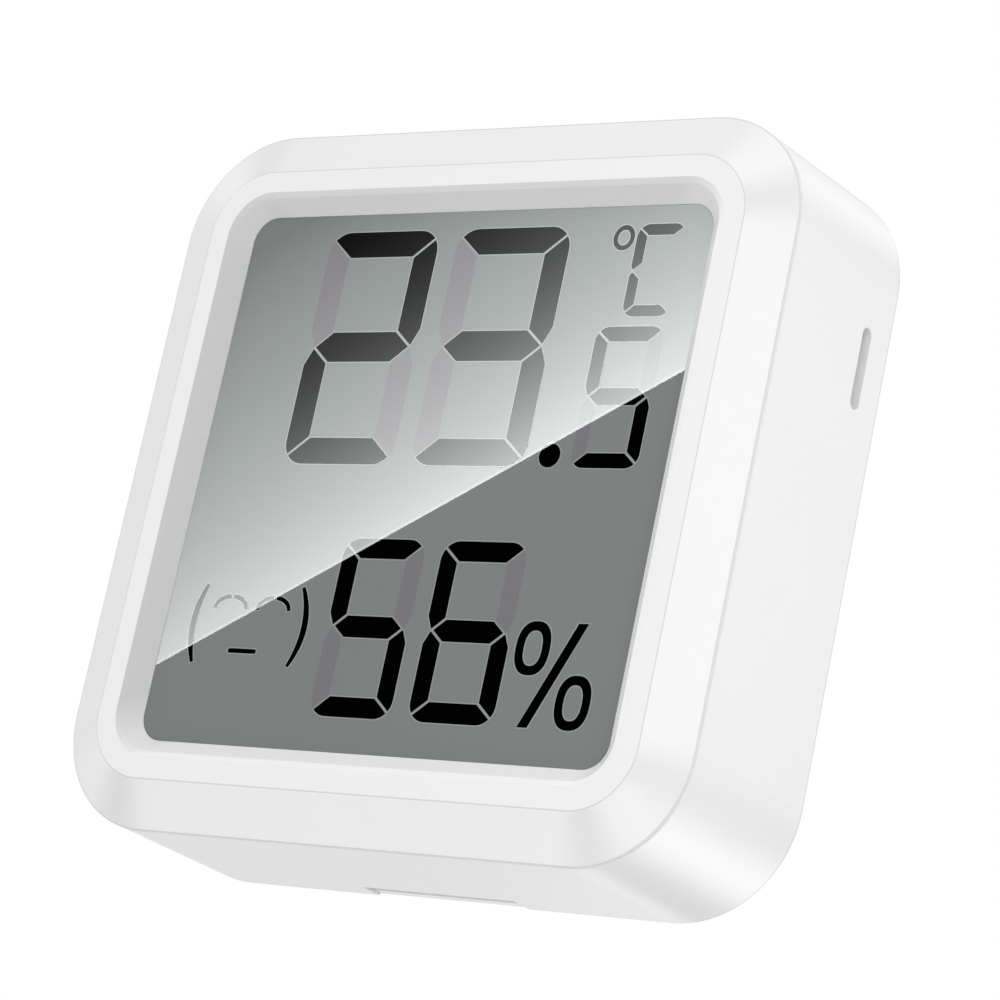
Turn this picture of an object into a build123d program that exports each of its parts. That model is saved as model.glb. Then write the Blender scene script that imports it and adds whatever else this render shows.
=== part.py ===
from build123d import *
import os
from math import atan2, degrees

os.makedirs("parts", exist_ok=True)

# Coin-cell temperature and humidity sensor with a square liquid-crystal display.
# Millimetres. X to the right, Y from the front to the back, Z up.
# The origin is under the middle of the case, at the lowest edge of its bottom wall.
# Depths are counted from the front flat of the bezel towards the back.

# Window and bezel: the case's width follows from the window outwards
window_width = 32.0
window_corner_radius = 1.54
recess_inset = 1.0           # slope round the window, on each side
recess_edge_width = 0.2      # small facet between the front flat and the recess
recess_edge_depth = 0.14
recess_depth = 1.04
window_land = 0.12
face_band = 1.45             # front flat round the recess
chamfer_width = 2.75
chamfer_depth = 1.26
bezel_land = 0.08
parting_gap = 0.12
plate_clearance = 0.09       # from the front glass to the rear face of the bezel's plate
spigot_wall = 0.8
spigot_gap = 0.3             # from the spigot to the board
spigot_clearance = 0.05
lug_length = 4.0
lug_height = 0.22
lug_thickness = 0.7
lug_from_screw = 4.6
lug_setback = 0.8            # from the spigot's free edge
lug_play = 0.04

# Housing's outer wall
case_corner_radius = 6.8     # at the back edge
wall_flare = 0.3             # mould draft on each side, from the parting line to the back
wall_thickness = 1.3         # at the parting line
back_edge_chamfer = 0.25
back_land = 0.5              # straight band beside the back edge
joint_edge_chamfer = 0.1     # front edge of the housing, beside the parting groove

# Liquid-crystal display, glass on glass with a contact ledge above and below.
# Its front film is the display's face: it lies right behind the window, on a foam gasket.
glass_overlap = 1.0          # beyond the window, left and right
front_glass_overlap = 2.1    # beyond the window, above and below
rear_glass_overlap = 0.7
glass_thickness = 0.55
front_film_thickness = 0.2
rear_film_thickness = 0.25
front_film_inset = 0.4
rear_film_inset = 0.45
gasket_thickness = 0.1
gasket_width = 0.45
pocket_clearance = 0.15

# Holder behind the display, and the two striped rubber contact strips
holder_clearance = 0.15
glass_play = 0.1
holder_shelf = 1.0
strip_inset = 2.0
strip_width = 1.0
strip_play = 0.1

# Circuit board
board_gap = 2.09             # from the display's rear film to the board
board_thickness = 0.8
board_clearance = 0.3
key_notch_width = 3.0
key_notch_depth = 1.1

# Small parts on the board's rear face, as length, width and height
radio_size = (5.0, 5.0, 0.85)
driver_size = (4.0, 4.0, 0.8)
crystal_size = (3.2, 2.5, 0.65)
sensor_size = (2.5, 2.5, 0.8)
capacitor_size = (0.8, 1.6, 0.75)
capacitor_count = 4
capacitor_pitch = 1.9
radio_gap = 0.9              # from the screw boss
capacitor_gap = 1.1          # from the radio chip
driver_gap = 0.4             # from the last capacitor
crystal_gap = 1.45           # from the screw boss
parts_row_inset = 4.1        # middle of the row of parts, from the board's upper edge
sensor_port_width = 1.0
sensor_port_depth = 0.25
pin_mark_width = 0.45
pin_mark_depth = 0.08
pin_mark_inset = 0.8

# Board screws and their bosses
screw_inset = 2.4            # from the window's edge
screw_radius = 0.7
screw_length = 2.6
screw_head_overlap = 0.55
screw_head_height = 0.7
screw_recess_depth = 0.35
screw_recess_width = 0.35
screw_recess_length = 1.4
thread_clearance = 0.02
hole_clearance = 0.15
boss_wall = 1.0

# Partition between board and battery
parts_gap = 1.4              # from the board to the partition
partition_thickness = 0.9
rib_thickness = 0.8
rib_height = 2.4
rib_angles = (35, 140, 220, 325)

# Battery bay and coin cell
cell_place = (-1.0, -1.5)
cell_radius = 10.0
cell_thickness = 3.2
cell_play = 0.2
cell_sheet = 0.25
cell_lip_width = 1.1
cell_gasket_wall = 0.45
cell_cap_step = 0.25
cell_edge_chamfer = 0.2
bay_clearance = 0.25
bay_wall = 0.9
bay_gap_to_cover = 0.25
thumb_notch_width = 9.0
thumb_notch_angle = -50
thumb_notch_share = 0.75

# Battery contacts, bent from strip
contact_sheet = 0.2
contact_bend = 0.35
negative_width = 3.0
negative_foot = 3.0
negative_reach = 6.5
negative_tip = 1.4
negative_tip_drop = 0.5
positive_width = 4.0
positive_foot = 3.0
positive_standoff = 1.9
positive_tip_rise = 1.3
positive_bulge_share = 0.5
contact_slot_margin = 0.5

# Air slot, sensor chamber and its foam seal
slot_length = 4.75
slot_width = 0.9
slot_below_screw = 3.95
slot_from_back = 2.6
chamber_width = 5.6
chamber_height = 5.6
chamber_wall = 0.8
seal_wall = 0.8
port_width = 4.2
port_height = 4.0
port_margin = 0.2

# Back cover, with stop ribs that hold the coin cell in its bay
cover_thickness = 1.0
cover_clearance = 0.1
cover_seat_gap = 0.05
rim_thickness = 1.0
cover_edge_chamfer = 0.15
hook_width = 4.0
hook_thickness = 0.8
hook_length = 2.6
hook_clearance = 0.15
bead_height = 0.07
bead_length = 0.6
bead_setback = 0.2
groove_depth = 0.35
groove_play = 0.15
stop_rib_length = 12.0
stop_rib_width = 0.8
stop_rib_gap = 0.05
hook_shares = (("left", 1), ("left", -1), ("right", 0), ("right", -1),
               ("top", 1), ("top", -1), ("bottom", 1), ("bottom", -1))

# Pry notch in the bottom wall, at the back edge
notch_width = 10.5
notch_length = 1.9
notch_height = 1.0
tab_clearance = 0.15
tab_setback = 0.12

overrun = 1.0

# Worked-out widths, from the window outwards
recess_width = window_width + 2 * recess_inset
recess_radius = window_corner_radius + recess_inset
flat_width = recess_width + 2 * face_band
front_width = flat_width + 2 * chamfer_width
front_radius = case_corner_radius - wall_flare
case_width = front_width + 2 * wall_flare
inner_width = front_width - 2 * wall_thickness
inner_radius = front_radius - wall_thickness
spigot_width = inner_width - 2 * spigot_clearance
spigot_radius = inner_radius - spigot_clearance
spigot_inner_width = spigot_width - 2 * spigot_wall
spigot_inner_radius = spigot_radius - spigot_wall
holder_width = spigot_inner_width - 2 * holder_clearance
holder_radius = spigot_inner_radius - holder_clearance
glass_width = window_width + 2 * glass_overlap
front_glass_height = window_width + 2 * front_glass_overlap
rear_glass_height = window_width + 2 * rear_glass_overlap
film_width = glass_width - 2 * front_film_inset
strip_length = glass_width - 2 * strip_inset
strip_offset = (front_glass_height + rear_glass_height) / 4
board_width = inner_width - 2 * board_clearance
board_radius = inner_radius - board_clearance
rim_width = case_width - 2 * rim_thickness
rim_radius = case_corner_radius - rim_thickness
cover_width = rim_width - 2 * cover_clearance
cover_radius = rim_radius - cover_clearance
middle_z = case_width / 2

# Worked-out depths, from the front flat to the back
parting_depth = chamfer_depth + bezel_land
housing_front = parting_depth + parting_gap
film_front = recess_depth + window_land + gasket_thickness
front_glass_front = film_front + front_film_thickness
rear_glass_front = front_glass_front + glass_thickness
plate_depth = rear_glass_front + plate_clearance
rear_film_front = rear_glass_front + glass_thickness
rear_film_back = rear_film_front + rear_film_thickness
board_depth = rear_film_back + board_gap
spigot_end = board_depth - spigot_gap
board_back = board_depth + board_thickness
partition_depth = board_back + parts_gap
partition_back = partition_depth + partition_thickness
can_front = partition_back + cell_cap_step
flange_front = can_front + 2 * cell_sheet
cell_back = partition_back + cell_thickness
cover_front = cell_back + cell_play
ledge_depth = cover_front - cover_seat_gap
bay_top = ledge_depth - bay_gap_to_cover
case_depth = cover_front + cover_thickness
slot_depth = case_depth - slot_from_back
front_y = -case_depth / 2

# Worked-out places, from the middle of the case
screw_offset = window_width / 2 - screw_inset
boss_radius = screw_radius + boss_wall
lug_offset = screw_offset - lug_from_screw
parts_row = board_width / 2 - parts_row_inset
radio_x = -(screw_offset - boss_radius - radio_gap - radio_size[0] / 2)
first_capacitor_x = radio_x + (radio_size[0] + capacitor_size[0]) / 2 + capacitor_gap
last_capacitor_x = first_capacitor_x + (capacitor_count - 1) * capacitor_pitch
driver_x = last_capacitor_x + (capacitor_size[0] + driver_size[0]) / 2 + driver_gap
crystal_y = screw_offset - boss_radius - crystal_gap - crystal_size[1] / 2
slot_height = screw_offset - slot_below_screw
port_x = inner_width / 2 - chamber_width + port_margin + port_width / 2
port_y = slot_height - chamber_height / 2 + port_height / 2
cell_lip_radius = cell_radius - cell_lip_width
cap_neck = cell_lip_radius - cell_gasket_wall
bay_radius = cell_radius + bay_clearance


def face_plane(depth):
    """Plane parallel to the front at a depth behind the front flat, seen from the front."""
    return Plane(origin=(0, front_y + depth, middle_z), x_dir=(1, 0, 0), z_dir=(0, -1, 0))


def side_plane(height):
    """Plane parallel to the ground: local x is to the right and local y is the depth."""
    return Plane(origin=(0, front_y, middle_z + height), x_dir=(1, 0, 0), z_dir=(0, 0, 1))


def slab(sketch, start, end):
    """Solid between two depths with the sketch as its outline."""
    return extrude(face_plane(start) * sketch, amount=start - end)


def flared(sketch, start, end, growth):
    """Solid between two depths whose outline grows on every side by the same amount."""
    slope = -degrees(atan2(growth, end - start))
    return extrude(face_plane(start) * sketch, amount=start - end, taper=slope)


def square(width, radius):
    return RectangleRounded(width, width, radius)


def disc(place, radius, start, end):
    return slab(Pos(*place) * Circle(radius), start, end)


def block(place, size, start, end):
    return slab(Pos(*place) * Rectangle(size[0], size[1]), start, end)


def on_side(side, along, reach):
    """Centre of a feature on one of the four walls, and whether its length runs along X."""
    places = {"left": (-reach, along), "right": (reach, along),
              "top": (along, reach), "bottom": (along, -reach)}
    return places[side], side in ("top", "bottom")


def side_block(side, along, inner, outer, length, start, end):
    """Block beside one wall, between two distances from the middle of the case."""
    place, flat = on_side(side, along, (inner + outer) / 2)
    size = (length, outer - inner) if flat else (outer - inner, length)
    return block(place, size, start, end)


def spin_profile(points, place):
    """Turned solid about a line along Y, from radius and depth pairs."""
    face = make_face(Polyline(*points, close=True))
    placed = Plane(origin=(place[0], front_y, middle_z + place[1]),
                   x_dir=(1, 0, 0), z_dir=(0, 0, 1)) * face
    axis = Axis((place[0], 0, middle_z + place[1]), (0, 1, 0))
    return revolve(placed, axis)


def bent_strip(points, width, height):
    """Sheet-metal strip along a bent line in side_plane, centred on a height."""
    path = FilletPolyline(*points, radius=contact_bend)
    ribbon = make_face(offset(path, contact_sheet / 2, side=Side.BOTH))
    return extrude(side_plane(height) * ribbon, amount=width / 2, both=True)


def lug_places():
    return [(side, sign * lug_offset)
            for side in ("left", "right", "top", "bottom") for sign in (-1, 1)]


def screw_places():
    return [(sx * screw_offset, sz * screw_offset) for sx in (-1, 1) for sz in (-1, 1)]


def front_bezel():
    shell = flared(square(flat_width, front_radius - chamfer_width), 0, chamfer_depth,
                   chamfer_width)
    shell += slab(square(front_width, front_radius), chamfer_depth, parting_depth)
    shell += slab(square(spigot_width, spigot_radius), parting_depth, spigot_end)
    shell -= slab(square(spigot_inner_width, spigot_inner_radius), plate_depth,
                  spigot_end + overrun)
    shell -= flared(square(recess_width, recess_radius), 0, recess_depth, -recess_inset)
    mouth = square(recess_width + 2 * recess_edge_width, recess_radius + recess_edge_width)
    edge_run = recess_edge_width + recess_inset * recess_edge_depth / recess_depth
    shell -= flared(mouth, 0, recess_edge_depth, -edge_run)
    shell -= slab(square(window_width, window_corner_radius), recess_depth - overrun,
                  plate_depth + overrun)
    pocket = Rectangle(glass_width + 2 * pocket_clearance,
                       front_glass_height + 2 * pocket_clearance)
    shell -= slab(pocket, recess_depth + window_land, plate_depth + overrun)
    lug_outer = spigot_width / 2 + lug_height
    lug_end = spigot_end - lug_setback
    for side, along in lug_places():
        shell += side_block(side, along, spigot_width / 2 - spigot_wall / 2, lug_outer,
                            lug_length, lug_end - lug_thickness, lug_end)
    return shell


def display_gasket():
    ring = Rectangle(film_width, film_width)
    ring -= Rectangle(film_width - 2 * gasket_width, film_width - 2 * gasket_width)
    return slab(ring, film_front - gasket_thickness, film_front)


def front_polariser():
    return slab(Rectangle(film_width, film_width), film_front, front_glass_front)


def lcd_front_glass():
    return slab(Rectangle(glass_width, front_glass_height), front_glass_front, rear_glass_front)


def lcd_rear_glass():
    return slab(Rectangle(glass_width, rear_glass_height), rear_glass_front, rear_film_front)


def rear_reflector():
    size = (glass_width - 2 * rear_film_inset, rear_glass_height - 2 * rear_film_inset)
    return slab(Rectangle(*size), rear_film_front, rear_film_back)


def strip_sketch(margin):
    places = [(0, strip_offset), (0, -strip_offset)]
    return [Pos(*p) * Rectangle(strip_length + 2 * margin, strip_width + 2 * margin)
            for p in places]


def contact_strip(index):
    return slab(strip_sketch(0)[index], rear_glass_front, board_depth)


def lcd_holder():
    """Frame that carries the glass from behind and guides the contact strips."""
    body = slab(square(holder_width, holder_radius), plate_depth, board_depth)
    body -= slab(Rectangle(glass_width + 2 * glass_play, rear_glass_height + 2 * glass_play),
                 plate_depth - overrun, rear_film_back)
    clear = (glass_width - 2 * rear_film_inset - 2 * holder_shelf,
             rear_glass_height - 2 * rear_film_inset - 2 * holder_shelf)
    body -= slab(Rectangle(*clear), rear_film_front, board_depth + overrun)
    for slot in strip_sketch(strip_play):
        body -= slab(slot, plate_depth - overrun, board_depth + overrun)
    return body


def main_board():
    outline = square(board_width, board_radius)
    for place in screw_places():
        outline -= Pos(*place) * Circle(screw_radius + hole_clearance)
    for side in (-1, 1):
        outline -= Pos(side * board_width / 2, -lug_offset) * Rectangle(
            2 * key_notch_depth, key_notch_width)
    return slab(outline, board_depth, board_back)


def chip(place, size, marked):
    """Flat component soldered to the rear face of the board."""
    body = block(place, size, board_back, board_back + size[2])
    if marked:
        corner = (place[0] - size[0] / 2 + pin_mark_inset, place[1] + size[1] / 2 - pin_mark_inset)
        body -= block(corner, (pin_mark_width, pin_mark_width),
                      board_back + size[2] - pin_mark_depth, board_back + size[2] + overrun)
    return body


def humidity_sensor():
    body = chip((port_x, port_y), sensor_size, False)
    top = board_back + sensor_size[2]
    return body - block((port_x, port_y), (sensor_port_width, sensor_port_width),
                        top - sensor_port_depth, top + overrun)


def board_capacitors():
    places = [(first_capacitor_x + index * capacitor_pitch, parts_row)
              for index in range(capacitor_count)]
    return Compound(children=[chip(place, capacitor_size, False) for place in places])


def board_screw(place):
    head_front = board_depth - screw_head_height
    body = disc(place, screw_radius + screw_head_overlap, head_front, board_depth)
    body += disc(place, screw_radius, head_front, head_front + screw_head_height + screw_length)
    for size in ((screw_recess_length, screw_recess_width),
                 (screw_recess_width, screw_recess_length)):
        body -= block(place, size, head_front - overrun, head_front + screw_recess_depth)
    return body


def board_screws():
    return Compound(children=[board_screw(place) for place in screw_places()])


def sensor_seal():
    outer = Rectangle(port_width + 2 * seal_wall, port_height + 2 * seal_wall)
    ring = Pos(port_x, port_y) * (outer - Rectangle(port_width, port_height))
    return slab(ring, board_back, partition_depth)


def screw_bosses():
    return [disc(place, boss_radius, board_back, partition_back) for place in screw_places()]


def negative_points():
    """Line of the contact under the cell, with its foot on the board."""
    foot = board_back + contact_sheet / 2
    touch = partition_back - contact_sheet / 2
    start = cell_place[0] - negative_reach / 2
    return [(start - negative_foot, foot), (start, foot), (start + negative_reach, touch),
            (start + negative_reach + negative_tip, touch - negative_tip_drop)]


def positive_points():
    """Line of the contact beside the cell, from its foot on the board to its sprung bulge."""
    foot = board_back + contact_sheet / 2
    touch_x = cell_place[0] - cell_radius - contact_sheet / 2
    touch_depth = partition_back + cell_thickness * positive_bulge_share
    riser_x = touch_x - positive_standoff
    return [(riser_x - positive_foot, foot), (riser_x, foot), (riser_x, partition_back),
            (touch_x, touch_depth), (touch_x - positive_standoff / 2,
                                     touch_depth + positive_tip_rise)]


def negative_contact():
    return bent_strip(negative_points(), negative_width, cell_place[1])


def positive_contact():
    return bent_strip(positive_points(), positive_width, cell_place[1])


def contact_openings():
    """Slots in the partition for the two battery contacts."""
    margin = contact_slot_margin
    cuts = []
    for points, width in ((negative_points(), negative_width),
                          (positive_points(), positive_width)):
        above = [p[0] for p in points[1:]]
        low, high = min(above) - margin, max(above) + margin
        place = ((low + high) / 2, cell_place[1])
        cuts.append(block(place, (high - low, width + 2 * margin),
                          partition_depth - overrun, partition_back + contact_sheet))
    return cuts


def bay_ring():
    """Ring wall round the coin cell, open at the positive contact and at a thumb notch."""
    ring = disc(cell_place, bay_radius + bay_wall, partition_back, bay_top)
    ring -= disc(cell_place, bay_radius, partition_back - overrun, bay_top + overrun)
    reach = bay_radius + bay_wall
    ring -= block((cell_place[0] - reach, cell_place[1]),
                  (reach, positive_width + 2 * contact_slot_margin),
                  partition_back - overrun, bay_top + overrun)
    thumb_cut = Pos(*cell_place) * Rot(0, 0, thumb_notch_angle) * (
        Pos(reach, 0) * Rectangle(reach, thumb_notch_width))
    notch_start = bay_top - (bay_top - partition_back) * thumb_notch_share
    return ring - slab(thumb_cut, notch_start, bay_top + overrun)


def bay_ribs():
    """Ribs from the ring wall towards the corners of the case."""
    span = inner_width / 2
    ribs = []
    for angle in rib_angles:
        strip = Pos(*cell_place) * Rot(0, 0, angle) * (
            Pos(span, 0) * Rectangle(2 * span, rib_thickness))
        strip = strip & square(inner_width, inner_radius)
        rib = slab(strip, partition_back, partition_back + rib_height)
        ribs.append(rib - disc(cell_place, bay_radius + bay_wall / 2,
                               partition_back - overrun, bay_top + overrun))
    return ribs


def chamber_shape(margin):
    """Outline of the sensor's air chamber, open to the right-hand wall."""
    right = inner_width / 2
    left = right - chamber_width - margin
    return Pos((left + right) / 2, slot_height) * Rectangle(
        right - left, chamber_height + 2 * margin)


def hook_groove(side, along):
    """Groove in the wall behind the lip that a hook's bead catches on."""
    bead_front = cover_front - hook_length + bead_setback
    inner = inner_width / 2
    return side_block(side, along, inner - hook_clearance, inner + groove_depth,
                      hook_width + 2 * groove_play, bead_front - groove_play,
                      bead_front + bead_length + groove_play)


def pry_notch():
    start = case_depth - notch_length
    outer = case_width / 2
    return side_block("bottom", 0, outer - notch_height - wall_flare, outer + overrun,
                      notch_width, start, case_depth + overrun)


def air_slot():
    straight = slot_length - slot_width
    plane = Plane(origin=(inner_width / 2 - overrun, front_y + slot_depth, middle_z + slot_height),
                  x_dir=(0, 0, 1), z_dir=(1, 0, 0))
    return extrude(plane * SlotCenterToCenter(straight, slot_width),
                   amount=wall_thickness + wall_flare + 2 * overrun)


def housing_skin():
    """Drafted outer wall, with a chamfer at its front edge and at its back edge."""
    flare_end = case_depth - back_land
    flare = wall_flare * (flare_end - housing_front) / (flare_end - parting_depth)
    start_width = case_width - 2 * flare
    start_radius = case_corner_radius - flare
    skin = flared(square(start_width, start_radius), housing_front, flare_end, flare)
    skin += slab(square(case_width, case_corner_radius), flare_end, case_depth)
    skin = chamfer(skin.edges().group_by(Axis.Y)[-1], back_edge_chamfer)
    return chamfer(skin.edges().group_by(Axis.Y)[0], joint_edge_chamfer)


def main_housing():
    body = housing_skin()
    body -= slab(square(inner_width, inner_radius), housing_front - overrun, partition_depth)
    body -= slab(square(inner_width, inner_radius), partition_back, ledge_depth + overrun / 2)
    body -= slab(square(rim_width, rim_radius), ledge_depth, case_depth + overrun)
    for boss in screw_bosses():
        body += boss
    for rib in bay_ribs():
        body += rib
    body += slab(chamber_shape(chamber_wall), partition_back, bay_top)
    body += bay_ring()
    body -= slab(chamber_shape(0), partition_back, bay_top + overrun)
    body -= disc(cell_place, bay_radius, partition_back, bay_top + overrun)
    body -= block((port_x, port_y), (port_width, port_height), partition_depth - overrun,
                  partition_back + overrun)
    for cut in contact_openings():
        body -= cut
    for place in screw_places():
        body -= disc(place, screw_radius + thread_clearance, board_back - overrun,
                     board_depth + screw_length)
    spigot_lug_end = spigot_end - lug_setback
    for side, along in lug_places():
        body -= side_block(side, along, spigot_width / 2, spigot_width / 2 + lug_height + lug_play,
                           lug_length + 2 * lug_play, spigot_lug_end - lug_thickness - lug_play,
                           spigot_lug_end + lug_play)
    for side, share in hook_shares:
        body -= hook_groove(side, share * lug_offset)
    body -= pry_notch()
    body -= air_slot()
    return body


def cell_can():
    points = [(0, cell_back), (cell_radius - cell_edge_chamfer, cell_back),
              (cell_radius, cell_back - cell_edge_chamfer), (cell_radius, can_front),
              (cell_lip_radius, can_front), (cell_lip_radius, can_front + cell_sheet),
              (cell_radius - cell_sheet, can_front + cell_sheet),
              (cell_radius - cell_sheet, cell_back - cell_sheet), (0, cell_back - cell_sheet)]
    return spin_profile(points, cell_place)


def cell_gasket():
    """Ring that insulates the cap from the can that is crimped over it."""
    points = [(cap_neck, can_front + cell_sheet), (cell_radius - cell_sheet, can_front + cell_sheet),
              (cell_radius - cell_sheet, flange_front), (cap_neck, flange_front)]
    return spin_profile(points, cell_place)


def cell_cap():
    points = [(0, partition_back), (cap_neck, partition_back), (cap_neck, flange_front),
              (cell_radius - cell_sheet, flange_front),
              (cell_radius - cell_sheet, flange_front + cell_sheet),
              (cap_neck - cell_sheet, flange_front + cell_sheet),
              (cap_neck - cell_sheet, partition_back + cell_sheet),
              (0, partition_back + cell_sheet)]
    return spin_profile(points, cell_place)


def cell_filling():
    """Pellet of electrodes, between the cap's flange and the can."""
    return disc(cell_place, cell_radius - cell_sheet, flange_front + cell_sheet,
                cell_back - cell_sheet)


def cover_hook(side, along):
    """Springy tongue with a bead, drawn sprung in so that the bead clears the lip."""
    outer = inner_width / 2 - hook_clearance
    tip = cover_front - hook_length
    tongue = side_block(side, along, outer - hook_thickness, outer, hook_width, tip, cover_front)
    bead_front = tip + bead_setback
    return tongue + side_block(side, along, outer - hook_thickness / 2, outer + bead_height,
                               hook_width, bead_front, bead_front + bead_length)


def cover_tab():
    """Tongue of the cover that fills the back of the pry notch, flush with the bottom wall."""
    outer = case_width / 2 - tab_setback
    return side_block("bottom", 0, cover_width / 2 - cover_radius / 2, outer,
                      notch_width - 2 * tab_clearance, cover_front, case_depth)


def back_cover():
    plate = slab(square(cover_width, cover_radius), cover_front, case_depth)
    plate += cover_tab()
    rear = plate.edges().group_by(Axis.Y)[-1]
    plate = chamfer(rear, cover_edge_chamfer)
    for side, share in hook_shares:
        plate += cover_hook(side, share * lug_offset)
    for size in ((stop_rib_length, stop_rib_width), (stop_rib_width, stop_rib_length)):
        plate += block(cell_place, size, cell_back + stop_rib_gap, cover_front)
    return plate


pieces = {
    "front_bezel": front_bezel(),
    "display_gasket": display_gasket(),
    "front_polariser": front_polariser(),
    "lcd_front_glass": lcd_front_glass(),
    "lcd_rear_glass": lcd_rear_glass(),
    "rear_reflector": rear_reflector(),
    "lcd_holder": lcd_holder(),
    "upper_contact_strip": contact_strip(0),
    "lower_contact_strip": contact_strip(1),
    "main_board": main_board(),
    "radio_chip": chip((radio_x, parts_row), radio_size, True),
    "display_driver": chip((driver_x, parts_row), driver_size, True),
    "board_crystal": chip((-screw_offset, crystal_y), crystal_size, False),
    "board_capacitors": board_capacitors(),
    "humidity_sensor": humidity_sensor(),
    "sensor_seal": sensor_seal(),
    "board_screws": board_screws(),
    "negative_contact": negative_contact(),
    "positive_contact": positive_contact(),
    "main_housing": main_housing(),
    "cell_can": cell_can(),
    "cell_gasket": cell_gasket(),
    "cell_cap": cell_cap(),
    "cell_filling": cell_filling(),
    "back_cover": back_cover(),
}

for name, shape in pieces.items():
    export_step(shape, f"parts/{name}.step")
    print(f"{name}: {len(shape.solids())} solid(s), {shape.volume:.2f} mm3")
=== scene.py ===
import logging
import math
from dataclasses import dataclass, field, replace
from enum import Enum
from typing import Callable

import bmesh
import bpy
from mathutils import Matrix, Vector


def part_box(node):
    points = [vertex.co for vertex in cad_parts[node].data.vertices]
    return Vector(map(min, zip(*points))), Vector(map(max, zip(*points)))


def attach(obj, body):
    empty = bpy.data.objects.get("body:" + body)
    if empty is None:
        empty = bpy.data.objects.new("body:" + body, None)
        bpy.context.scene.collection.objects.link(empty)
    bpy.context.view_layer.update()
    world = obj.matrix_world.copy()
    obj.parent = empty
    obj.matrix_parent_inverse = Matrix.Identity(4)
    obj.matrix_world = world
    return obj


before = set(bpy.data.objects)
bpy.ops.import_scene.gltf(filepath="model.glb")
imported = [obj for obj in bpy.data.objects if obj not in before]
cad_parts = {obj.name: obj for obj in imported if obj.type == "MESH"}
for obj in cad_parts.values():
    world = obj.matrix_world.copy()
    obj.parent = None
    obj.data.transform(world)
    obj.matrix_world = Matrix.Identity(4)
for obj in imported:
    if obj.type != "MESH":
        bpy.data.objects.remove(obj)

LOG = logging.getLogger("sensor")
MM = 0.001
WHITE = (1.0, 1.0, 1.0, 1.0)
WAVE_RADIANS = 20  # What the wave pattern runs through in one unit of its coordinates
PROBES_PER_STEP = 9  # Fineness with which the direction of a printed line is taken

Point = tuple[float, float]
Place = tuple[float, float, float]
Colour = tuple[float, float, float, float]
Outline = list[Point]
Material = bpy.types.Material
Node = bpy.types.Node
Socket = bpy.types.NodeSocket
Tree = bpy.types.NodeTree


# Shared helpers

def linear(hex_colour: str, share: float = 1.0) -> Colour:
    """Turns an sRGB hex colour into the linear colour that a shader takes.

    Args:
        hex_colour: a colour such as "#EDEDEC".
        share: how much of its light is kept.

    Returns:
        Linear red, green and blue, and an alpha of one.
    """
    parts = [int(hex_colour[i:i + 2], 16) / 255 for i in (1, 3, 5)]
    red, green, blue = (share * (p / 12.92 if p <= 0.04045 else ((p + 0.055) / 1.055) ** 2.4)
                        for p in parts)
    return red, green, blue, 1.0


def add_node(
    tree: Tree,
    kind: str,
    settings: dict[str | int, object] | None = None,
    links: dict[str | int, Node | Socket] | None = None,
) -> Node:
    """Adds one node with its settings and links.

    Args:
        tree: the node tree that gets the node.
        kind: the node's type name, without the ShaderNode that all of them start with.
        settings: values by property name, or by input name or number.
        links: by input name or number, an output, or a node for its first output.

    Returns:
        The new node.
    """
    node = tree.nodes.new(f"ShaderNode{kind}")
    for key, value in (settings or {}).items():
        if isinstance(key, str) and hasattr(node, key):
            setattr(node, key, value)
    for key, value in (settings or {}).items():
        if isinstance(key, int) or not hasattr(node, key):
            node.inputs[key].default_value = value
    for key, source in (links or {}).items():
        output = source.outputs[0] if isinstance(source, Node) else source
        tree.links.new(output, node.inputs[key])
    return node


def scale_for(width_mm: float) -> float:
    """Scale of a pattern whose marks are that wide, for object coordinates in metres."""
    return 1 / (width_mm * MM)


def dress(material: Material, *nodes: str) -> None:
    """Gives CAD nodes their finish.

    Args:
        material: the material for all of their faces.
        nodes: the nodes' names.
    """
    for node in nodes:
        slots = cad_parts[node].data.materials
        slots.clear()
        slots.append(material)
        LOG.info("dressed %s in %s", node, material.name)


# Finishes, each named for what the real one is made of

class Finish:
    """A finish that makes its own material. Each kind says how light meets its surface."""

    name: str

    def shade(self, tree: Tree, where: Socket) -> Node:
        """Adds the nodes of the finish.

        Args:
            tree: the material's node tree.
            where: the piece's own coordinates, in metres.

        Returns:
            The node that gives the surface.
        """
        raise NotImplementedError

    def build(self) -> Material:
        """Makes the material."""
        material = bpy.data.materials.new(self.name)
        material.use_nodes = True
        tree = material.node_tree
        tree.nodes.clear()
        where = add_node(tree, "TexCoord").outputs["Object"]
        add_node(tree, "OutputMaterial", links={"Surface": self.shade(tree, where)})
        return material


@dataclass(frozen=True)
class Depths:
    """A stretch of the case from front to back, in metres."""

    start: float
    end: float

    def share(self, tree: Tree, depth: Socket) -> Node:
        """One on the faces inside the stretch, and zero elsewhere."""
        return add_node(tree, "Math", {"operation": "COMPARE", 1: (self.start + self.end) / 2,
                                       2: (self.end - self.start) / 2}, {0: depth})


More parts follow.
